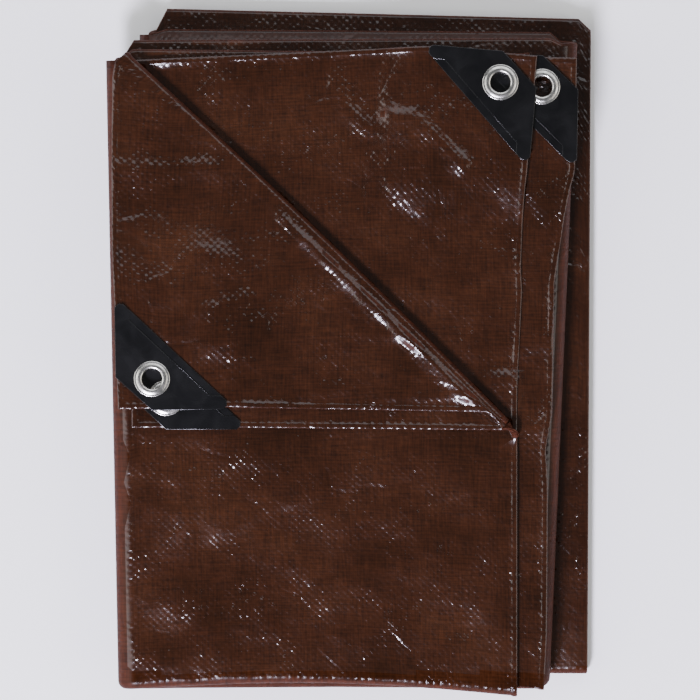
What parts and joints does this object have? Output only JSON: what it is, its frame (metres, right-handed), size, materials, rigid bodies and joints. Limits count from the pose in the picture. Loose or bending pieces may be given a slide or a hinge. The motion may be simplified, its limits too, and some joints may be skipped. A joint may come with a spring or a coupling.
{
  "type": "folded poly tarp",
  "caption": "Brown woven poly tarp folded flat, with black plastic corner patches, metal eyelets and one corner turned back.",
  "frame": {"origin": "centre of the folded package's box, at its underside", "axes": "+X to the right and +Y up the package as it is seen from above, +Z out of its front, up from the surface it lies on"},
  "size_m": [0.2852, 0.4036, 0.0522],
  "materials": {
    "tarp_cloth": "glossy coated weave",
    "corner_plastic": "satin moulded",
    "eyelet_metal": "polished"
  },
  "bodies": {
    "root": {"tarp_sheet": "tarp_cloth", "corner_patch_1": "corner_plastic", "corner_patch_2": "corner_plastic", "corner_patch_3": "corner_plastic", "corner_patch_4": "corner_plastic", "eyelet_1": "eyelet_metal", "eyelet_2": "eyelet_metal", "eyelet_3": "eyelet_metal", "eyelet_4": "eyelet_metal"}
  },
  "joints": []
}
